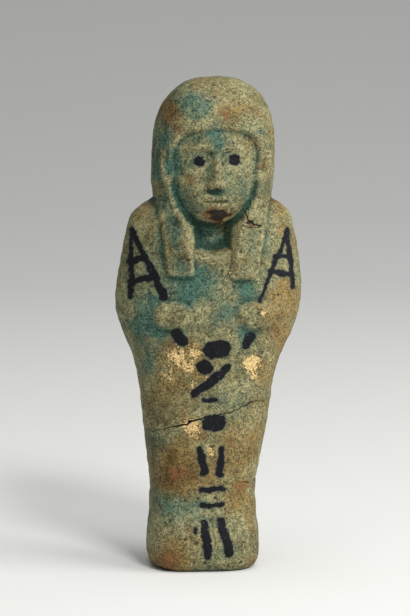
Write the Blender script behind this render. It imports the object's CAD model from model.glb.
"""Looks of a mould-made faience ushabti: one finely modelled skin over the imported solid."""

import math

import bpy
import numpy as np
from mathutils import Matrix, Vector


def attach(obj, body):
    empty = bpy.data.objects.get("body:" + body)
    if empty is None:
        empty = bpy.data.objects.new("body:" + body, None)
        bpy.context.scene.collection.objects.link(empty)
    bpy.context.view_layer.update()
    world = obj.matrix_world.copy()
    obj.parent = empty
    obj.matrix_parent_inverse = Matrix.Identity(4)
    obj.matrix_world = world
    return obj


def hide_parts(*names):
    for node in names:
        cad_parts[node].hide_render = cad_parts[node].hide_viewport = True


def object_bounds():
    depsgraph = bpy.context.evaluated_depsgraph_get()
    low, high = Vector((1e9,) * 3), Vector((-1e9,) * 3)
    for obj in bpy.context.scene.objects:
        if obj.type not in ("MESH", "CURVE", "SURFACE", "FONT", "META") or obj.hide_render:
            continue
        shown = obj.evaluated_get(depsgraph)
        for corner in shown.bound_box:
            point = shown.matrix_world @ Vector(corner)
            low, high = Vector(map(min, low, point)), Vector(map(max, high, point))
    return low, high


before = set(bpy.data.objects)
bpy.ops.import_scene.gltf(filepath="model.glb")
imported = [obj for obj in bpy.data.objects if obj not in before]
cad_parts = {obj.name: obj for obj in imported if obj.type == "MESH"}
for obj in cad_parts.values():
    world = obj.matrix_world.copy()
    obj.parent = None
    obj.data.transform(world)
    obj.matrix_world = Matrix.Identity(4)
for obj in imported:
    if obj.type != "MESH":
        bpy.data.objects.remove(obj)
cad_low, cad_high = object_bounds()

# The form is worked out in millimetres of a figure this tall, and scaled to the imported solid.
FORM_HEIGHT = 115.0
UNIT = (cad_high.z - cad_low.z) / FORM_HEIGHT

# Heights of the landmarks.
CROWN_Z = 115
WIG_DOME_Z = 97
HAIR_EDGE_Z = 103.6
CHIN_Z = 80.8
WIG_SIDE_END_Z = 85.2
WIG_BACK_END_Z = 73
NECK_TOP_Z = 91
FIST_Z = 60.5
WAIST_OF_LEAN_Z = 61
ANKLE_Z = 16

LEAN = 0.031
BODY_WIDEST_Y = 2
FOOT_SQUARENESS = 3.6
CHEST_SQUARENESS = 2.3
BACK_SQUARENESS = 3.4
WIG_HALF_WIDTH = 14.3
WIG_FRONT = 11.2
WIG_BACK = 10.6
WIG_SQUARENESS = 2.45
OPENING_NARROWING = 0.2
FACE_HALF_WIDTH = 10.4
FACE_FRONT = 11.6
FACE_MIDDLE_Z = 92

HALF_WIDTH = [
    (0, 11.4), (1, 12.5), (3, 13.2), (7, 13.1), (12, 12.5), (18, 12.4), (24, 13), (34, 14.5),
    (39, 15.2), (44, 15.9), (50, 17.5), (55, 19.8), (58, 20.9), (60, 21.4), (62.5, 21.6), (65, 21.6),
    (72, 21), (79, 19.6), (82.6, 18.6), (84.8, 16.7), (86.2, 14.4), (87.7, 11),
]
FRONT = [
    (0, 9.7), (1, 10.9), (3, 11.8), (7, 11.8), (13, 10.2), (19, 9.4), (32, 9.6), (48, 10.2), (60, 10.8),
    (68, 10.4), (77, 9.2), (83, 7.4), (88, 5.2),
]
BACK = [(0, 8.4), (1, 9.4), (3, 9.9), (12, 9.5), (30, 9.5), (60, 10), (76, 9.8), (83, 9), (88, 7)]

LAPPET = dict(height=1.15, edge=0.38, top_z=90, inner_top=6.7, inner_end=4.3, outer_top=13.2, outer_end=10.5)
LAPPET_END_LEFT_Z = 69.6
LAPPET_END_RIGHT_Z = 69.1
FIST = dict(height=1.05, half_width=4, half_height=3, edge=0.85, left_x=-9.3, right_x=10.3)
WIG_TAIL = dict(height=0.8, half_width=11, edge=0.4)
FOREARM = dict(height=0.4, radius=2.4, elbow_x=18, elbow_z=61, wrist_x=12)
EAR = dict(x=11.1, y=-6.4, z=94.4, half_width=1.9, depth=2.5, half_height=4.4, hollow=0.7)
NECK = dict(half_width=6.6, depth=6.4, y=1)
THROAT = dict(half_width=8, half_height=6, z=80.8, y=-10, depth=6.2)

# How softly one mass runs into the next.
LAPPET_CORNER = 1.6
TAIL_CORNER = 1.6
WIG_RIM = 0.8
THROAT_RIM = 1.6
NECK_FILLET = 1.5
FACE_FILLET = 0.5
EAR_FILLET = 0.5
HEAD_FILLET = 0.8

EYE_Z = 96.4
BROW_Z = 99.3
NOSE_END_Z = (BROW_Z + CHIN_Z) / 2
MOUTH_Z = NOSE_END_Z - (NOSE_END_Z - CHIN_Z) / 3
EYE_WIDTH = 2 * FACE_HALF_WIDTH / 5
NOSE_HALF_WIDTH = EYE_WIDTH / 2
MOUTH_HALF_WIDTH = EYE_WIDTH * 0.8

# Painted marks: (x, z, radius) to (x, z, radius) of each brush stroke, in the front view.
LEFT_HOE = [
    (-17.9, 80, 0.45, -18.6, 64.6, 0.75),
    (-17.8, 79.8, 0.45, -11, 64.8, 1.0),
    (-18.6, 72.4, 0.7, -14.6, 73.9, 0.6),
    (-18.4, 67.9, 0.75, -13.4, 69.4, 0.65),
]
RIGHT_HOE = [
    (18, 79.4, 0.6, 11.3, 63.7, 0.5),
    (18.2, 79.3, 0.65, 19.4, 66.3, 0.6),
    (14.9, 73.8, 0.55, 18.8, 73.4, 0.4),
    (13.6, 70.5, 0.55, 19.1, 69.2, 0.65),
]
HAND_DABS = [(-7.9, 56.5, 1.35, -6.8, 54.6, 1.3), (9, 55.4, 1.3, 7.9, 53.3, 1.1)]
COLUMN_OF_STROKES = [
    (0.2, 52.5, 2.1, 2.2, 52.8, 2.1),
    (-1.7, 48.4, 1.7, -1.3, 48.4, 1.7),
    (3.6, 48.3, 0.85, 0.4, 45.2, 1.1),
    (0.4, 45.2, 1.2, -3.6, 42.2, 1.05),
    (-1.6, 40.4, 0.55, 1, 40.6, 0.5),
    (-0.6, 35.3, 1.85, 1.8, 35.4, 1.85),
    (-2.6, 29, 0.75, -1.7, 23.4, 0.9),
    (2.4, 29, 0.75, 1.9, 23.2, 0.9),
    (-2.3, 19.4, 0.55, 2.6, 19.5, 0.6),
    (-2, 15.7, 0.55, 2.6, 16, 0.6),
    (-3.9, 10.6, 0.55, -3.8, 10, 0.5),
    (-1.7, 12, 0.75, -1, 4.2, 0.95),
    (2.1, 12, 0.9, 4.1, 4.7, 1.0),
]
BRUSH_STROKES = LEFT_HOE + RIGHT_HOE + HAND_DABS + COLUMN_OF_STROKES
WORN_SPOTS = [(10.3, 53.1, 0.7), (0.2, 35.6, 0.2), (-16.6, 78.8, 0.25)]
PUPIL_RADIUS = 1.2
PAINT_END_Y = 3

# Cracks, as paths of (x, z, how wide they gape).
CRACKS = [
    [
        (-14.6, 32.5, 0.3), (-11, 33.4, 0.45), (-8.4, 34.3, 0.9), (-5.5, 35.2, 1.2), (-2.7, 36, 1),
        (0.5, 36.8, 0.5), (3.9, 37.5, 0.6), (6.9, 38.7, 0.55), (9.9, 39.9, 0.75), (12.4, 39.5, 0.25),
    ],
    [
        (-13.2, 20.2, 0.05), (-7.3, 21.2, 0.1), (-2, 21.2, 0.2), (4, 20.9, 0.12), (10.3, 20.6, 0.35),
        (12.6, 20.7, 1.1),
    ],
    [(-6.4, 64.4, 0.12), (-4.1, 59.8, 0.25), (-5, 56.5, 0.15), (-4.3, 52, 0.15)],
    [(7.6, 84.4, 0.5), (8.3, 83.2, 1.1), (9.4, 82.1, 0.8), (11.4, 81.1, 0.7)],
    [(6.9, 81.4, 0.5), (8.6, 80.6, 0.4), (11.1, 80.9, 0.3)],
    [(-13, 87, 0.4), (-10.8, 86.8, 0.3), (-9, 87.6, 0.2)],
]
CRACKS_END_Y = 4
# Chips: (x, z, half width, half height, depth).
CHIPS = [
    (1.4, 83.5, 3.1, 1.9, 0.5),
    (8.7, 82, 0.9, 0.5, 0.3),
    (13.2, 20.6, 1.3, 0.8, 0.45),
]
WORN_CORNER = dict(x=-13.5, y=-8, radius=3.2, depth=0.6)
PITS = dict(count=700, sizes=(0.25, 0.7), depths=(0.08, 0.26), seed=11)
PITS_KEEP_OFF_EYES = 2.6
PITS_LOWEST_Z = 1.5
FLAKE_DEPTH = 0.14
CRACK_DEPTH = 0.4
# Patches of each finish: (x, z, radius, strength).
GLAZE_POOLS = [
    (-4, 109.5, 4, 0.8), (-10.5, 102, 3.5, 0.7), (-10.5, 95, 4.5, 0.9), (-9, 88, 4, 0.8),
    (-5, 82, 5, 0.8), (0.5, 101.5, 4, 0.8), (-3.5, 97, 3, 0.5), (10.5, 103.5, 2.5, 0.8),
    (8, 90, 4, 0.5), (-10, 77, 3, 0.6), (-13, 71, 3, 0.5), (-4, 68.5, 7, 0.9), (8, 68, 4, 0.7),
    (12, 76, 3.5, 0.5), (2, 62, 5, 0.5), (-14.5, 60, 6, 0.95), (8, 56, 4, 0.7), (-8.5, 56, 3, 0.5),
    (-14.5, 48, 2.5, 0.6), (4, 41, 5, 0.4), (-13, 30, 3, 0.4), (-9, 16, 5, 0.7), (-3, 15, 5, 0.55),
    (-13, 11, 3, 0.5), (0, 3, 5, 0.35), (7, 4, 3, 0.3),
]
THIN_GLAZE = [
    (18, 78, 5, 0.5), (17, 85.5, 3.5, 0.7), (-16, 85, 4, 0.45), (17.5, 62, 6, 0.75), (17, 54, 5, 0.8),
    (13, 45, 5, 0.6), (12, 36, 5, 0.4), (-7, 50, 6, 0.85), (-10, 43, 5, 0.6), (3, 46, 3, 0.3),
    (-8, 36, 5, 0.5), (-3.5, 33.5, 4, 0.9), (8, 30, 6, 0.6), (-8, 23.5, 7, 1.1), (5, 25, 6, 0.6),
    (7, 17, 4, 0.7), (9, 11, 3, 0.5), (-4, 8, 4, 0.45), (-9, 3, 5, 0.9), (9, 1.5, 4, 0.5),
    (-9, 108, 3.5, 0.8), (-3, 113.5, 4, 0.3), (3, 108, 3, 0.7), (7, 108.5, 2.5, 0.4),
    (13, 95, 3.5, 0.5), (-12, 89, 2, 0.5), (2, 96, 2.5, 0.3), (-5, 91.5, 1.6, 0.6), (5.5, 80, 3, 0.35),
    (6, 73, 3, 0.3), (-12, 80, 3, 0.35), (1.6, 84, 3.4, 0.5), (11, 102, 5, 0.5),
]
RUSTY = [
    (-7, 102.6, 1.8, 0.6), (3.2, 107.5, 2.1, 0.8), (10, 107.5, 1.6, 0.55), (13.2, 106, 1.5, 0.5),
    (-5.2, 92, 1.2, 0.7), (11.8, 95, 1.6, 0.5), (-9.3, 106.5, 3, 0.5), (5.2, 70.6, 1.5, 0.65),
    (15.5, 86, 2.4, 0.5), (8.6, 81.8, 1.3, 0.7), (0.9, 84, 2.9, 0.62), (-9, 53.3, 1.4, 0.6),
    (15.5, 57, 1.2, 0.6), (-14.7, 55, 1, 0.5), (-12.4, 47, 1.5, 0.35), (-4, 33, 2.6, 0.5),
    (-8, 23.5, 2.4, 0.95), (-12, 22, 2, 0.5), (0.5, 27, 1.2, 0.6), (7, 19.5, 2, 0.7),
    (10.3, 20.3, 1.6, 0.6), (-5.8, 10.6, 1.4, 0.6), (-10, 3, 3.2, 0.95), (-13, 2, 2, 0.6),
    (9.5, 2, 2, 0.6), (9.7, 9, 1.4, 0.4), (3.5, 31, 2, 0.35), (-3, 114, 3.4, 0.4),
]
GRIME = [
    (-8.5, 23, 5.5, 0.8), (-11.5, 108, 4.5, 0.8), (-13, 98, 4, 0.5), (-13.5, 30, 3, 0.5),
    (-12, 1.5, 4, 0.5), (-13, 80, 3.5, 0.5), (5.5, 76.5, 2, 0.4), (-12, 89, 3, 0.5), (4, 26, 4, 0.35),
    (12.5, 86.5, 3, 0.4), (-17, 76, 4, 0.55), (-11, 36, 5, 0.5), (-8, 45, 4, 0.35),
    (-7.5, 82.5, 2.4, 0.6), (9, 27, 4, 0.35), (10, 6, 5, 0.5), (-8, 75, 4.5, 0.7), (-9, 61, 4, 0.5),
    (-10, 27, 5, 0.6), (0, 73, 4, 0.4), (13, 13, 4, 0.4), (-9, 103, 3, 0.4),
]
FLAKED = [
    (-7.6, 50.8, 2.7, 0.9), (-3.9, 52, 1.6, 0.9), (-5.3, 48.4, 2.3, 0.8), (-9.6, 46.4, 2.4, 0.55),
    (9.8, 49, 2.5, 1), (10, 45.7, 1.8, 0.7), (12.2, 61.4, 1, 1), (-4.3, 33.9, 2.5, 0.85),
    (-1.2, 46.6, 1.2, 0.5), (-3.9, 43.6, 1.1, 0.55), (5.2, 70.6, 1, 0.55), (0.2, 28.2, 1.2, 0.65),
    (13.5, 49.5, 1.2, 0.4), (3, 82.6, 1, 0.55),
]

# Finishes, as linear colours.
PALE_GLAZE = (0.29, 0.268, 0.138)
DULL_GLAZE = (0.12, 0.122, 0.061)
DEEP_GLAZE = (0.05, 0.125, 0.096)
TAN_BODY = (0.235, 0.16, 0.056)
GRIME_TINT = (0.42, 0.36, 0.26)
NOOK_TINT = (0.3, 0.36, 0.31)
RUBBED_GLAZE = (0.34, 0.31, 0.17)
GRAIN_DARK = (0.36, 0.37, 0.36)
GRAIN_LIGHT = (1.42, 1.41, 1.36)
RUST_DARK = (0.13, 0.045, 0.014)
RUST_LIGHT = (0.31, 0.15, 0.052)
BARE_BODY_DARK = (0.45, 0.27, 0.09)
BARE_BODY_LIGHT = (0.95, 0.74, 0.36)
CHIP_RIM = (0.22, 0.09, 0.03)
CHIP_HEART = (0.03, 0.02, 0.013)
SPECK = (0.025, 0.028, 0.02)
CRACK_DARK = (0.01, 0.008, 0.006)
INK = (0.003, 0.003, 0.004)
INK_BLUE = (0.007, 0.009, 0.018)
INK_HALO = (0.04, 0.07, 0.068)

# The studio, in metres, degrees and watts.
PAPER = (0.76, 0.76, 0.735)
PAPER_ROUGHNESS = 0.9
PAPER_HALF_WIDTH = 1.6
FLOOR_FRONT = 1.2
FLOOR_BACK = 0.5
SWEEP_RADIUS = 1.2
SWEEP_STEPS = 12
BACKDROP_TOP = 1.6
LIT_POINT = (0, 0, 0.055)
# Softboxes: (name, azimuth, elevation, distance, size, watts).
SOFTBOXES = [
    ("key_softbox", 22, 45, 0.9, 0.2, 4.4),
    ("side_softbox", 68, 30, 0.8, 0.5, 4.2),
    ("top_softbox", 0, 85, 0.9, 0.7, 3.6),
]
ROOM_LIGHT = (0.96, 0.98, 1, 1)
ROOM_STRENGTH = 0.17
CAMERA = dict(azimuth=-4, elevation=8, distance=0.7, target=(-0.00101, 0, 0.061))
LENS_MM = 175
CLIP_START = 0.01

DOME_ORIGIN_Z = 104
RING_DENSITY = [(0, 4), (2, 4), (5, 2), (50, 2), (60, 2.6), (76, 2.8), (82, 3.5), (DOME_ORIGIN_Z, 3.5)]
RINGS = 264
DOME_RINGS = 34
COLUMN_DENSITY = [(0, 1.6), (45, 1.6), (80, 0.8), (180, 0.8)]
COLUMNS = 332
FURTHEST = 26
SCAN_STEP = 0.4
HALVINGS = 12
RELIEF_REACH = 6
NOOK_REACH = 2
FAR_OFF = 9.0
SOFT_PASSES = 2


def mix(a, b, t):
    return a + (b - a) * t


def bell(t):
    return np.exp(-t * t)


def smooth(start, end, t):
    s = np.clip((t - start) / (end - start), 0, 1)
    return s * s * (3 - 2 * s)


def join(a, b, r):
    h = np.maximum(r - np.abs(a - b), 0) / r
    return np.minimum(a, b) - h * h * r / 4


def common(a, b, r):
    return -join(-a, -b, r)


def norm(a, b, n):
    return (np.abs(a) ** n + np.abs(b) ** n) ** (1 / n)


def profile(stations):
    """A smooth curve through (position, value) stations, with no overshoot between them."""
    x, y = (np.array(column, float) for column in zip(*stations))
    rise = np.diff(y) / np.diff(x)
    before, after = rise[:-1], rise[1:]
    turning = before * after <= 0
    middle = np.where(turning, 0, 2 * before * after / np.where(turning, 1, before + after))
    slope = np.concatenate([rise[:1], middle, rise[-1:]])

    def at(position):
        p = np.clip(position, x[0], x[-1])
        i = np.clip(np.searchsorted(x, p, side="right") - 1, 0, len(x) - 2)
        width = x[i + 1] - x[i]
        t = (p - x[i]) / width
        t2, t3 = t * t, t * t * t
        ends = y[i] * (2 * t3 - 3 * t2 + 1) + y[i + 1] * (3 * t2 - 2 * t3)
        return ends + width * (slope[i] * (t3 - 2 * t2 + t) + slope[i + 1] * (t3 - t2))

    return at


half_width_at = profile(HALF_WIDTH)
front_at = profile(FRONT)
back_at = profile(BACK)


def axis_x(z):
    return LEAN * (np.maximum(z, ANKLE_Z) - WAIST_OF_LEAN_Z)


def nearest_on_line(x, z, ax, az, bx, bz):
    """How far along the line from a to b its nearest point is, from 0 to 1, and the distance to it."""
    dx, dz = bx - ax, bz - az
    along = np.clip(((x - ax) * dx + (z - az) * dz) / (dx * dx + dz * dz), 0, 1)
    return along, np.hypot(x - ax - along * dx, z - az - along * dz)


def beyond_lappet(x, z):
    """Distance outside the outline of the nearer lappet, in the plane of the front view."""
    end_z = np.where(x < 0, LAPPET_END_LEFT_Z, LAPPET_END_RIGHT_Z)
    along = (LAPPET["top_z"] - z) / (LAPPET["top_z"] - end_z)
    inner = mix(LAPPET["inner_top"], LAPPET["inner_end"], along)
    outer = mix(LAPPET["outer_top"], LAPPET["outer_end"], along)
    across = np.abs(np.abs(x) - (inner + outer) / 2) - (outer - inner) / 2
    return common(across, end_z - z, LAPPET_CORNER)


def lappet_relief(x, z):
    return LAPPET["height"] * smooth(LAPPET["edge"], -LAPPET["edge"], beyond_lappet(x, z))


def fist_relief(x, z):
    centre_x = np.where(x < 0, FIST["left_x"], FIST["right_x"])
    outside = norm((x - centre_x) / FIST["half_width"], (z - FIST_Z) / FIST["half_height"], 2.4) - 1
    return FIST["height"] * smooth(FIST["edge"], -FIST["edge"], outside * FIST["half_height"])


def forearm_relief(x, z):
    elbow = FOREARM["elbow_x"], FOREARM["elbow_z"]
    _, away = nearest_on_line(np.abs(x), z, *elbow, FOREARM["wrist_x"], FIST_Z)
    return FOREARM["height"] * bell(away / FOREARM["radius"])


def chest_relief(x, z):
    return np.maximum(lappet_relief(x, z), fist_relief(x, z) + forearm_relief(x, z))


def tail_relief(x, z):
    outside = common(np.abs(x) - WIG_TAIL["half_width"], WIG_BACK_END_Z - z, TAIL_CORNER)
    return WIG_TAIL["height"] * smooth(WIG_TAIL["edge"], -WIG_TAIL["edge"], outside)


def body(x, y, z):
    back = y - BODY_WIDEST_Y
    facing = back < 0
    reach = np.where(facing, front_at(z) + BODY_WIDEST_Y, back_at(z) - BODY_WIDEST_Y)
    chest = mix(FOOT_SQUARENESS, CHEST_SQUARENESS, smooth(6, 42, z))
    half_width = half_width_at(z)
    loft = norm(x / half_width, back / reach, np.where(facing, chest, BACK_SQUARENESS)) - 1
    relief = chest_relief(x, z) * smooth(1, -3, y) + tail_relief(x, z) * smooth(4, 7, y)
    skin = loft * np.minimum(half_width, reach) - relief
    return np.maximum(skin, z - NECK_TOP_Z)


def throat(x, y, z):
    plan = norm(x / THROAT["half_width"], (z - THROAT["z"]) / THROAT["half_height"], 2)
    return (norm(plan, (y - THROAT["y"]) / THROAT["depth"], 2) - 1) * THROAT["depth"]


def neck(x, y, z):
    plan = norm(x / NECK["half_width"], (y - NECK["y"]) / NECK["depth"], 2)
    return np.maximum((plan - 1) * NECK["depth"], z - FACE_MIDDLE_Z)


def face_half_width(z):
    return FACE_HALF_WIDTH * (1 - 0.27 * smooth(FACE_MIDDLE_Z + 1, CHIN_Z - 2, z))


def opening_half_width(z):
    """The opening of the wig closes in below the chin, so the lappets cover the sides of the throat."""
    return face_half_width(z) * (1 - OPENING_NARROWING * smooth(87, 79, z))


def wig(x, y, z):
    rise = np.maximum(z - WIG_DOME_Z, 0) / (CROWN_Z - WIG_DOME_Z)
    half_width = WIG_HALF_WIDTH * (1 - 0.05 * smooth(92, 85, z))
    front_view = norm(x / half_width, rise, WIG_SQUARENESS)
    front = y < 0
    mass = norm(front_view, y / np.where(front, WIG_FRONT, WIG_BACK), np.where(front, 2.3, 2.9)) - 1
    end_z = mix(WIG_SIDE_END_Z, WIG_BACK_END_Z, smooth(3, 6, y))
    up = z - FACE_MIDDLE_Z
    reach_up = np.where(up > 0, HAIR_EDGE_Z - FACE_MIDDLE_Z, 2 * (FACE_MIDDLE_Z - CHIN_Z))
    egg = (norm(x / opening_half_width(z), up / reach_up, np.where(up > 0, 3.2, 2.5)) - 1) * FACE_HALF_WIDTH
    step = mix(2.2, 0.8, smooth(84, 93, z)) * smooth(0.42, -0.42, egg) * smooth(1, -3, y)
    surface = mass * WIG_BACK + step
    hood = common(surface, end_z - z, WIG_RIM)
    lappets = common(surface, common(beyond_lappet(x, z), y, 0.5), WIG_RIM)
    return np.minimum(hood, lappets)


def ear(x, y, z):
    side, up = (np.abs(x) - EAR["x"]) / EAR["half_width"], (z - EAR["z"]) / EAR["half_height"]
    outline = norm(side - 0.25 * up, up, 2.3)
    mass = norm(outline, (y - EAR["y"]) / EAR["depth"], 2) - 1
    hollow = EAR["hollow"] * smooth(0.75, 0.35, norm((side - 0.25 * up) / 0.8, up - 0.1, 2))
    return mass * EAR["half_width"] + hollow


def almond(side, z):
    across = (side - EYE_WIDTH) / (EYE_WIDTH * 0.56)
    return 1 - across * across - np.abs((z - EYE_Z) / 1.25) ** 1.6


def eye_relief(side, z):
    socket = -1.35 * bell((side - EYE_WIDTH * 0.92) / 2.7) * bell((z - EYE_Z - 0.2) / 1.9)
    eye = almond(side, z)
    ball = 0.95 * np.clip(eye, 0, 1) ** 0.8
    lid = mix(0.42, 0.78, smooth(-0.6, 0.6, z - EYE_Z)) * bell((eye + 0.3) / 0.32)
    return socket + ball + lid


def brow_relief(side, z):
    arch = BROW_Z - 0.07 * (side - EYE_WIDTH * 0.75) ** 2
    return 0.65 * bell((z - arch) / 0.8) * smooth(0.2, 2, side) * smooth(8.6, 6, side)


def nose_relief(side, z):
    down = (BROW_Z - 0.6 - z) / (BROW_Z - 0.6 - NOSE_END_Z)
    within = smooth(-0.25, 0.15, down) * smooth(1.06, 0.93, down)
    height = mix(0.7, 2.3, smooth(0, 1, down))
    width = mix(1.15, 1.75, smooth(0.3, 1, down))
    bridge = height * np.exp(-((side / width) ** 2.4)) * within
    wing = bell((side - NOSE_HALF_WIDTH * 0.8) / 0.75) * bell((z - NOSE_END_Z - 0.9) / 0.95)
    return bridge + 0.75 * wing


def mouth_relief(side, z):
    line = MOUTH_Z + 0.03 * side * side
    width = smooth(MOUTH_HALF_WIDTH + 0.4, MOUTH_HALF_WIDTH - 1.4, side)
    mound = 0.7 * bell(side / 4.6) * bell((z - MOUTH_Z) / 2.8)
    upper = 0.72 * bell((z - line - 0.75) / 0.6) * width
    lower = 0.78 * bell((z - line + 0.85) / 0.7) * smooth(MOUTH_HALF_WIDTH, 0.6, side)
    parting = -0.7 * bell((z - line) / 0.32) * width
    groove = -0.22 * bell(side / 0.55) * bell((z - line - 2) / 0.8)
    return mound + upper + lower + parting + groove


def face_relief(x, z):
    side = np.abs(x)
    cheek = 0.45 * bell((side - 5.3) / 2.8) * bell((z - NOSE_END_Z - 1.6) / 3.2)
    chin = 1.1 * bell(side / 2.9) * bell((z - CHIN_Z - 2.6) / 2.1)
    features = eye_relief(side, z) + brow_relief(side, z) + nose_relief(side, z) + mouth_relief(side, z)
    return cheek + chin + features


def face(x, y, z):
    up = z - FACE_MIDDLE_Z
    height = np.where(up > 0, np.abs(up / 17) ** 1.4, np.abs(up / (FACE_MIDDLE_Z - CHIN_Z)) ** 2)
    width = face_half_width(z) + 1.2
    mass = norm(norm(x / width, height, 2), y / FACE_FRONT, 2.2) - 1
    return mass * FACE_FRONT * 0.9 - face_relief(x, z) * smooth(-4, -8, y)


def figurine(world_x, y, z):
    x = world_x - axis_x(z)
    trunk = join(common(body(x, y, z), -throat(x, y, z), THROAT_RIM), neck(x, y, z), NECK_FILLET)
    head = join(join(wig(x, y, z), face(x, y, z), FACE_FILLET), ear(x, y, z), EAR_FILLET)
    return join(trunk, head, HEAD_FILLET)


def reach_of(origin, direction):
    """How far the skin is along each ray: the outermost crossing, by scan and halving."""

    def inside(rays, distance):
        p = origin[rays] + direction[rays] * distance[:, None]
        return figurine(p[:, 0], p[:, 1], p[:, 2]) < 0

    outer = np.full(len(origin), float(FURTHEST))
    left = np.arange(len(origin))
    while len(left):
        hit = inside(left, outer[left] - SCAN_STEP) | (outer[left] <= SCAN_STEP * 2)
        left = left[~hit]
        outer[left] -= SCAN_STEP
    inner = outer - SCAN_STEP
    rays = np.arange(len(origin))
    for _ in range(HALVINGS):
        middle = (inner + outer) / 2
        hit = inside(rays, middle)
        inner = np.where(hit, middle, inner)
        outer = np.where(hit, outer, middle)
    return (inner + outer) / 2


def softened(reach):
    """Rounds off the saw teeth that rays along a steep edge leave between rings and columns."""
    for _ in range(SOFT_PASSES):
        reach = reach / 2 + (np.roll(reach, 1, 1) + np.roll(reach, -1, 1)) / 4
        inner = reach[1:-1] / 2 + (reach[:-2] + reach[2:]) / 4
        reach = np.vstack([reach[:1], inner, reach[-1:]])
    return reach


def spaced(density, steps, ends):
    """Positions from the first to the last station, closer together where the density is higher."""
    at, weight = (np.array(column, float) for column in zip(*density))
    fine = np.linspace(at[0], at[-1], 2001)
    share = np.concatenate([[0], np.cumsum(np.interp((fine[1:] + fine[:-1]) / 2, at, weight))])
    return np.interp(np.linspace(0, share[-1], steps + 1)[:ends], share, fine)


def column_angles():
    half = spaced(COLUMN_DENSITY, COLUMNS // 2, COLUMNS // 2 + 1)
    return np.radians(np.concatenate([half, -half[-2:0:-1]]))


def ring_starts():
    straight = spaced(RING_DENSITY, RINGS, RINGS)
    climbs = np.arange(DOME_RINGS) / DOME_RINGS * math.pi / 2
    heights = np.concatenate([straight, np.full(DOME_RINGS, float(DOME_ORIGIN_Z))])
    return heights, np.concatenate([np.zeros(RINGS), climbs])


def waves(points, length, seed):
    """A smooth random field between about -1 and 1, with bumps of the given length in mm."""
    rng = np.random.default_rng(seed)
    total = np.zeros(len(points))
    for _ in range(14):
        way = rng.normal(size=3)
        way *= rng.uniform(0.7, 1.4) / np.linalg.norm(way)
        total += np.sin(points @ way * (2 * math.pi / length) + rng.uniform(0, 2 * math.pi))
    return total / 4


def blurred(field, reach):
    """The field averaged over its neighbours on the grid; the rings wrap round, the ends are held."""
    span = range(-reach, reach + 1)
    for _ in range(2):
        field = sum(np.roll(field, step, 1) for step in span) / len(span)
        tall = np.pad(field, ((reach, reach), (0, 0)), mode="edge")
        field = sum(tall[reach + step : len(tall) - reach + step] for step in span) / len(span)
    return field


def grid_normals(grid):
    along = np.roll(grid, -1, 1) - np.roll(grid, 1, 1)
    up = np.gradient(grid, axis=0)
    normal = np.cross(along, up)
    return normal / np.linalg.norm(normal, axis=2, keepdims=True)


def tapered(x, z, stroke):
    """Distance outside a brush stroke (x, z, radius) -> (x, z, radius)."""
    ax, az, ar, bx, bz, br = stroke
    along, away = nearest_on_line(x, z, ax, az, bx, bz)
    return away - mix(ar, br, along)


def painted(x, y, z):
    """Distance outside the nearest painted mark; the marks are on the front only."""
    marks = np.minimum.reduce([tapered(x, z, stroke) for stroke in BRUSH_STROKES])
    worn = np.minimum.reduce([np.hypot(x - wx, z - wz) - wr for wx, wz, wr in WORN_SPOTS])
    pupils = np.hypot(np.abs(x - axis_x(z)) - EYE_WIDTH, z - EYE_Z) - PUPIL_RADIUS
    return np.where(y < PAINT_END_Y, np.minimum(np.maximum(marks, -worn), pupils), FAR_OFF)


def nearest_crack(x, y, z):
    """Signed distance across the nearest crack, and how wide that crack gapes there."""
    across, gape = np.full(len(x), FAR_OFF), np.zeros(len(x))
    for path in CRACKS:
        for (ax, az, aw), (bx, bz, bw) in zip(path, path[1:]):
            along, away = nearest_on_line(x, z, ax, az, bx, bz)
            side = (x - ax) * (bz - az) - (z - az) * (bx - ax)
            nearer = (away < np.abs(across)) & (y < CRACKS_END_Y)
            across = np.where(nearer, np.where(side < 0, -away, away), across)
            gape = np.where(nearer, mix(aw, bw, along), gape)
    return across, gape


def blots(x, y, z, places):
    """Soft round patches (x, z, radius, strength) on the front; the strongest one counts."""
    spots = [k * bell(np.hypot(x - px, z - pz) / r) for px, pz, r, k in places]
    return np.maximum.reduce(spots) * smooth(6, 0, y)


def scattered(points, choices, count, sizes, depths, seed):
    """Depth of small round pits round randomly chosen points of the skin."""
    rng = np.random.default_rng(seed)
    depth = np.zeros(len(points))
    for centre in points[rng.choice(choices, count, replace=False)]:
        radius, deep = rng.uniform(*sizes), rng.uniform(*depths)
        near = np.abs(points - centre).max(1) < radius * 2.2
        away = np.linalg.norm(points[near] - centre, axis=1)
        depth[near] = np.maximum(depth[near], deep * bell(away / radius))
    return depth


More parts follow.
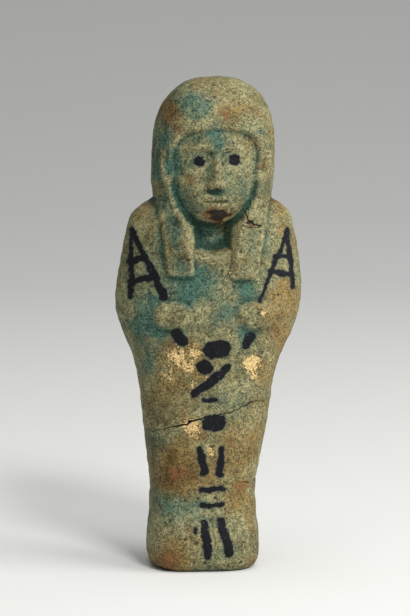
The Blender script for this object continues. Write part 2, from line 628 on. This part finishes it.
def skin_mesh():
    angles = column_angles()
    heights, climbs = ring_starts()
    columns, rings = len(angles), len(heights)
    angle = np.tile(angles, rings)
    z, climb = np.repeat(heights, columns), np.repeat(climbs, columns)
    flat = np.cos(climb)
    direction = np.stack([np.sin(angle) * flat, -np.cos(angle) * flat, np.sin(climb)], 1)
    origin = np.stack([axis_x(z), np.zeros_like(z), z], 1)
    reach = softened(reach_of(origin, direction).reshape(rings, columns))
    points = origin + direction * reach.reshape(-1, 1)

    crown_origin = np.array([[float(axis_x(DOME_ORIGIN_Z)), 0, DOME_ORIGIN_Z]])
    up = np.array([[0.0, 0.0, 1.0]])
    crown = crown_origin + up * reach_of(crown_origin, up)[:, None]
    underside = np.array([[float(axis_x(0)), 0, 0]])

    hollow = {
        "relief": (reach - blurred(reach, RELIEF_REACH)).ravel(),
        "nook": (blurred(reach, NOOK_REACH) - reach).ravel(),
    }
    points, more = weathered(points, grid_normals(points.reshape(rings, columns, 3)).reshape(-1, 3))
    looks = {name: np.append(values, [0, 0]) for name, values in {**hollow, **more}.items()}
    for name in ("ink", "crack"):
        looks[name][-2:] = FAR_OFF
    points = np.vstack([points, crown, underside])
    crown_at, underside_at = rings * columns, rings * columns + 1

    column = np.arange(columns)
    after = np.roll(column, -1)
    starts = np.arange(rings - 1)[:, None] * columns
    corners = [starts + column, starts + after, starts + after + columns, starts + column + columns]
    quads = np.stack(corners, -1).reshape(-1, 4)
    last = (rings - 1) * columns
    faces = quads.tolist()
    faces += [[underside_at, b, a] for a, b in zip(column.tolist(), after.tolist())]
    faces += [[last + a, last + b, crown_at] for a, b in zip(column.tolist(), after.tolist())]
    return points, faces, looks


def weathered(points, normals):
    """Sinks the cracks, chips, flakes and pits into the skin, and says where each finish lies."""
    x, y, z = points.T
    drift_x = 1.1 * waves(points, 9, 21) + 0.6 * waves(points, 3.1, 22)
    drift_z = 1.1 * waves(points, 8, 23) + 0.6 * waves(points, 2.7, 24)
    looks = {
        "glaze": blots(x + drift_x, y, z + drift_z, GLAZE_POOLS),
        "thin": blots(x + drift_x, y, z - drift_z, THIN_GLAZE),
        "rust": blots(x - 0.5 * drift_x, y, z + 0.5 * drift_z, RUSTY),
        "grime": blots(x - drift_x, y, z + drift_z, GRIME),
        "flake": blots(x + 0.4 * drift_x, y, z - 0.4 * drift_z, FLAKED),
    }
    shake_x = 0.22 * waves(points, 3.6, 25) + 0.12 * waves(points, 1.3, 26)
    shake_z = 0.22 * waves(points, 4.1, 27) + 0.12 * waves(points, 1.5, 28)
    looks["ink"] = painted(x + shake_x, y, z + shake_z)
    crack, gape = nearest_crack(x + 0.35 * waves(points, 3, 5), y, z + 0.3 * waves(points, 2.4, 6))
    looks["crack"], looks["gape"] = crack, gape

    ragged = 0.25 * waves(points, 2.2, 8)
    chips = [(np.hypot((x - cx) / rx, (z - cz) / rz) + ragged, deep) for cx, cz, rx, rz, deep in CHIPS]
    looks["chip"] = np.where(y < 0, np.minimum.reduce([away for away, _ in chips]) - 1, FAR_OFF)
    broken = np.maximum.reduce([deep * smooth(1.05, 0.55, away) for away, deep in chips]) * (y < 0)

    upright = np.abs(normals[:, 2]) < 0.9
    clear_of_eyes = np.hypot(np.abs(x - axis_x(z)) - EYE_WIDTH, z - EYE_Z) > PITS_KEEP_OFF_EYES
    choices = np.flatnonzero(upright & clear_of_eyes & (z > PITS_LOWEST_Z))
    looks["pit"] = scattered(points, choices, **PITS)
    from_corner = np.sqrt((x - WORN_CORNER["x"]) ** 2 + (y - WORN_CORNER["y"]) ** 2 + z**2)
    sink = (
        CRACK_DEPTH * gape * bell(crack / 0.32)
        + broken
        + looks["pit"]
        + FLAKE_DEPTH * smooth(0.35, 0.7, looks["flake"] + 0.12 * waves(points, 1.6, 9))
        + WORN_CORNER["depth"] * bell(from_corner / WORN_CORNER["radius"])
        + 0.14 * waves(points, 13, 3) * smooth(0, 4, z)
        + 0.06 * waves(points, 3.4, 4) * smooth(0, 3, z)
        + 0.03 * waves(points, 1.5, 10) * smooth(0, 3, z)
    )
    return points - normals * sink[:, None], looks


class Recipe:
    """A material in the making. Each step adds one node and gives what comes out of it."""

    def __init__(self, name):
        self.material = bpy.data.materials.new(name)
        self.material.use_nodes = True
        self.tree = self.material.node_tree
        self.tree.nodes.clear()
        place = self.add("ShaderNodeTexCoord").outputs["Object"]
        in_mm = self.add("ShaderNodeVectorMath", {0: place, 3: 1 / UNIT}, operation="SCALE")
        self.place_mm = in_mm.outputs[0]

    def add(self, kind, inputs=None, **settings):
        made = self.tree.nodes.new(kind)
        for name, value in settings.items():
            setattr(made, name, value)
        for socket, value in (inputs or {}).items():
            if isinstance(value, bpy.types.NodeSocket):
                self.tree.links.new(value, made.inputs[socket])
            elif isinstance(value, tuple) and len(value) < len(made.inputs[socket].default_value):
                made.inputs[socket].default_value = (*value, 1)
            else:
                made.inputs[socket].default_value = value
        return made

    def attribute(self, name):
        return self.add("ShaderNodeAttribute", attribute_name=name).outputs["Fac"]

    def plus(self, a, b):
        return self.add("ShaderNodeMath", {0: a, 1: b}, operation="ADD").outputs[0]

    def times(self, a, b):
        return self.add("ShaderNodeMath", {0: a, 1: b}, operation="MULTIPLY").outputs[0]

    def most(self, a, b):
        return self.add("ShaderNodeMath", {0: a, 1: b}, operation="MAXIMUM").outputs[0]

    def size_of(self, a):
        return self.add("ShaderNodeMath", {0: a}, operation="ABSOLUTE").outputs[0]

    def swing(self, cloud, amount):
        """A cloud, which hangs about 0.5, made to swing about 0."""
        inputs = {0: cloud, 1: amount, 2: -amount / 2}
        return self.add("ShaderNodeMath", inputs, operation="MULTIPLY_ADD").outputs[0]

    def ramp(self, value, start, end, low=0.0, high=1.0):
        inputs = {"Value": value, "From Min": start, "From Max": end, "To Min": low, "To Max": high}
        return self.add("ShaderNodeMapRange", inputs, interpolation_type="SMOOTHSTEP").outputs[0]

    def over(self, share, below, above, mode="MIX"):
        inputs = {0: share, 6: below, 7: above}
        return self.add("ShaderNodeMix", inputs, data_type="RGBA", blend_type=mode).outputs[2]

    def clouds(self, size_mm, detail, roughness, offset):
        move = (offset, offset * 0.7, -offset)
        moved = self.add("ShaderNodeVectorMath", {0: self.place_mm, 1: move}).outputs[0]
        inputs = {"Vector": moved, "Scale": 1 / size_mm, "Detail": detail, "Roughness": roughness}
        return self.add("ShaderNodeTexNoise", inputs).outputs["Fac"]

    def grains(self, size_mm):
        """A random number for each grain of sand."""
        cells = self.add("ShaderNodeTexVoronoi", {"Vector": self.place_mm, "Scale": 1 / size_mm})
        return self.add("ShaderNodeSeparateColor", {0: cells.outputs["Color"]}).outputs[0]


def faience_material():
    made = Recipe("weathered_faience")
    plus, times, swing, ramp, over = made.plus, made.times, made.swing, made.ramp, made.over
    relief, nook, glaze, thin = (made.attribute(name) for name in ("relief", "nook", "glaze", "thin"))
    grime, rust, flake, chip = (made.attribute(name) for name in ("grime", "rust", "flake", "chip"))
    pit, ink, crack, gape = (made.attribute(name) for name in ("pit", "ink", "crack", "gape"))
    broad, patchy = made.clouds(17, 3, 0.55, 0), made.clouds(5, 5, 0.65, 31)
    mottle, dust = made.clouds(1.7, 4, 0.7, 57), made.clouds(0.9, 4, 0.75, 12)
    fine, sand = made.clouds(0.3, 2, 0.7, 83), made.grains(0.32)

    # A pale to dull glaze, bluer in the hollows and where it pooled.
    colour = over(ramp(plus(swing(mottle, 1.2), swing(patchy, 1.6)), -0.35, 0.4), PALE_GLAZE, DULL_GLAZE)
    pooled = plus(plus(times(relief, -1.0), glaze), plus(swing(broad, 1.2), swing(patchy, 1.5)))
    pooled = plus(pooled, plus(swing(fine, 1.2), swing(dust, 0.8)))
    colour = over(ramp(pooled, 0.05, 1.0, 0, 0.95), colour, DEEP_GLAZE)
    # Tan where it is thin, grimy in places.
    worn = plus(plus(thin, times(glaze, -0.5)), plus(swing(patchy, 1.7), swing(broad, -0.8)))
    worn = plus(worn, plus(swing(fine, 1.0), swing(dust, 0.9)))
    colour = over(ramp(worn, 0.0, 0.75, 0, 0.95), colour, TAN_BODY)
    soiled = plus(plus(grime, swing(mottle, 0.9)), plus(swing(dust, 0.8), swing(fine, 0.8)))
    colour = over(ramp(soiled, 0.1, 0.8, 0, 0.85), colour, GRIME_TINT, "MULTIPLY")
    # Dirt in the corners of the relief, and its edges rubbed pale.
    cornered = plus(nook, plus(swing(fine, 0.1), swing(patchy, 0.22)))
    colour = over(ramp(cornered, 0.03, 0.2, 0, 0.75), colour, NOOK_TINT, "MULTIPLY")
    colour = over(ramp(plus(nook, swing(dust, 0.12)), -0.05, -0.25, 0, 0.35), colour, RUBBED_GLAZE)
    # Light and dark grains.
    grit = plus(times(sand, 0.5), times(fine, 0.5))
    colour = over(1.0, colour, over(ramp(grit, 0.18, 0.72), GRAIN_DARK, GRAIN_LIGHT), "MULTIPLY")
    # Iron stains, in crumbs.
    stained = plus(plus(rust, swing(patchy, 0.9)), plus(swing(dust, 2.2), swing(sand, 0.5)))
    rusty = over(ramp(fine, 0.35, 0.65), RUST_DARK, RUST_LIGHT)
    colour = over(ramp(stained, 0.42, 0.72, 0, 0.85), colour, rusty)
    # Flaked glaze shows the yellow body.
    flaked = plus(plus(flake, swing(dust, 1.6)), swing(sand, 0.5))
    bare = ramp(flaked, 0.4, 0.7)
    colour = over(bare, colour, over(ramp(fine, 0.35, 0.65), BARE_BODY_DARK, BARE_BODY_LIGHT))
    # Broken places are brown inside.
    broken = ramp(plus(chip, swing(dust, 0.5)), 0.05, -0.12)
    colour = over(broken, colour, over(ramp(plus(chip, swing(dust, 0.8)), 0.0, -0.28), CHIP_RIM, CHIP_HEART))
    # Dark specks and pits.
    crowded = ramp(made.clouds(6, 3, 0.6, 91), 0.3, 0.65, 0.3, 1)
    specks = times(ramp(made.clouds(0.36, 1, 0.5, 7), 0.62, 0.68), crowded)
    specks = made.most(specks, ramp(pit, 0.1, 0.2))
    colour = over(times(specks, 0.8), colour, SPECK)
    # Brush strokes, ragged at the edge and thin in places, with a blue halo.
    edge = plus(plus(ink, swing(mottle, 0.7)), swing(fine, 0.45))
    colour = over(ramp(edge, 0.5, 0.05, 0, 0.5), colour, INK_HALO)
    inked = ramp(edge, 0.12, -0.1)
    covered = times(inked, ramp(made.clouds(0.8, 3, 0.6, 44), 0.64, 0.74, 1, 0.4))
    colour = over(covered, colour, over(ramp(dust, 0.45, 0.7), INK, INK_BLUE))
    # Cracks.
    gap = plus(plus(made.size_of(crack), times(gape, -0.22)), swing(fine, 0.2))
    open_gap = times(ramp(gap, 0.07, -0.05), ramp(gape, 0.05, 0.3))
    colour = over(open_gap, colour, CRACK_DARK)

    roughness = plus(plus(swing(fine, 0.25), 0.7), plus(times(inked, -0.05), times(bare, 0.15)))
    height = plus(plus(times(grit, 0.9), times(mottle, 0.8)), times(specks, -0.6))
    height = plus(height, plus(times(bare, -0.4), plus(times(open_gap, -1.5), times(inked, -0.15))))
    bump = made.add("ShaderNodeBump", {"Height": height, "Strength": 0.9, "Distance": 0.12 * UNIT}).outputs[0]
    finish = {"Base Color": colour, "Roughness": roughness, "Normal": bump, "Specular IOR Level": 0.22}
    shader = made.add("ShaderNodeBsdfPrincipled", finish).outputs[0]
    made.add("ShaderNodeOutputMaterial", {"Surface": shader}).is_active_output = True
    return made.material


def plain_material(name, colour, roughness):
    mat = bpy.data.materials.new(name)
    mat.use_nodes = True
    shader = mat.node_tree.nodes["Principled BSDF"]
    shader.inputs["Base Color"].default_value = (*colour, 1)
    shader.inputs["Roughness"].default_value = roughness
    return mat


def softbox(name, azimuth, elevation, distance, size, watts):
    """A square studio light that looks at the middle of the figurine."""
    lamp = bpy.data.lights.new(name, "AREA")
    lamp.size, lamp.energy = size, watts
    holder = bpy.data.objects.new(name, lamp)
    bpy.context.scene.collection.objects.link(holder)
    aim(holder, azimuth, elevation, distance, Vector(LIT_POINT))


def aim(holder, azimuth, elevation, distance, target):
    """Puts a light or camera on a sphere round the target, 0 degrees being in front, looking at it."""
    turn, rise = math.radians(azimuth), math.radians(elevation)
    back = Vector((math.sin(turn) * math.cos(rise), -math.cos(turn) * math.cos(rise), math.sin(rise)))
    holder.location = target + back * distance
    holder.rotation_euler = (-back).to_track_quat("-Z", "Y").to_euler()


def sweep():
    """The paper floor, which curves up behind into a backdrop."""
    profile_points = [(-FLOOR_FRONT, 0.0), (FLOOR_BACK, 0.0)]
    for step in range(1, SWEEP_STEPS + 1):
        turn = step / SWEEP_STEPS * math.pi / 2
        profile_points.append(
            (FLOOR_BACK + SWEEP_RADIUS * math.sin(turn), SWEEP_RADIUS * (1 - math.cos(turn)))
        )
    profile_points.append((FLOOR_BACK + SWEEP_RADIUS, BACKDROP_TOP))
    verts = [(side * PAPER_HALF_WIDTH, y, z) for y, z in profile_points for side in (-1, 1)]
    faces = [(2 * i, 2 * i + 1, 2 * i + 3, 2 * i + 2) for i in range(len(profile_points) - 1)]
    mesh = bpy.data.meshes.new("paper_sweep")
    mesh.from_pydata(verts, [], faces)
    mesh.shade_smooth()
    mesh.materials.append(plain_material("paper", PAPER, PAPER_ROUGHNESS))
    paper = bpy.data.objects.new("paper_sweep", mesh)
    bpy.context.scene.collection.objects.link(paper)


points, faces, looks = skin_mesh()
low, high = points.min(0), points.max(0)
points -= [(low[0] + high[0]) / 2, (low[1] + high[1]) / 2, low[2]]
mesh = bpy.data.meshes.new("figurine_skin")
mesh.from_pydata((points * UNIT).tolist(), [], faces)
mesh.shade_smooth()
for name, values in looks.items():
    mesh.attributes.new(name, "FLOAT", "POINT").data.foreach_set("value", values.astype(np.float32))
skin = bpy.data.objects.new("figurine_skin", mesh)
bpy.context.scene.collection.objects.link(skin)
mesh.materials.append(faience_material())
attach(skin, "root")
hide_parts("figurine")

sweep()
for settings in SOFTBOXES:
    softbox(*settings)
world = bpy.data.worlds.new("studio")
bpy.context.scene.world = world
world.use_nodes = True
world.node_tree.nodes["Background"].inputs["Color"].default_value = ROOM_LIGHT
world.node_tree.nodes["Background"].inputs["Strength"].default_value = ROOM_STRENGTH
bpy.context.scene.view_settings.view_transform = "Standard"

camera = bpy.data.objects.new("camera", bpy.data.cameras.new("camera"))
bpy.context.scene.collection.objects.link(camera)
bpy.context.scene.camera = camera
camera.data.lens = LENS_MM
camera.data.clip_start = CLIP_START
aim(camera, CAMERA["azimuth"], CAMERA["elevation"], CAMERA["distance"], Vector(CAMERA["target"]))
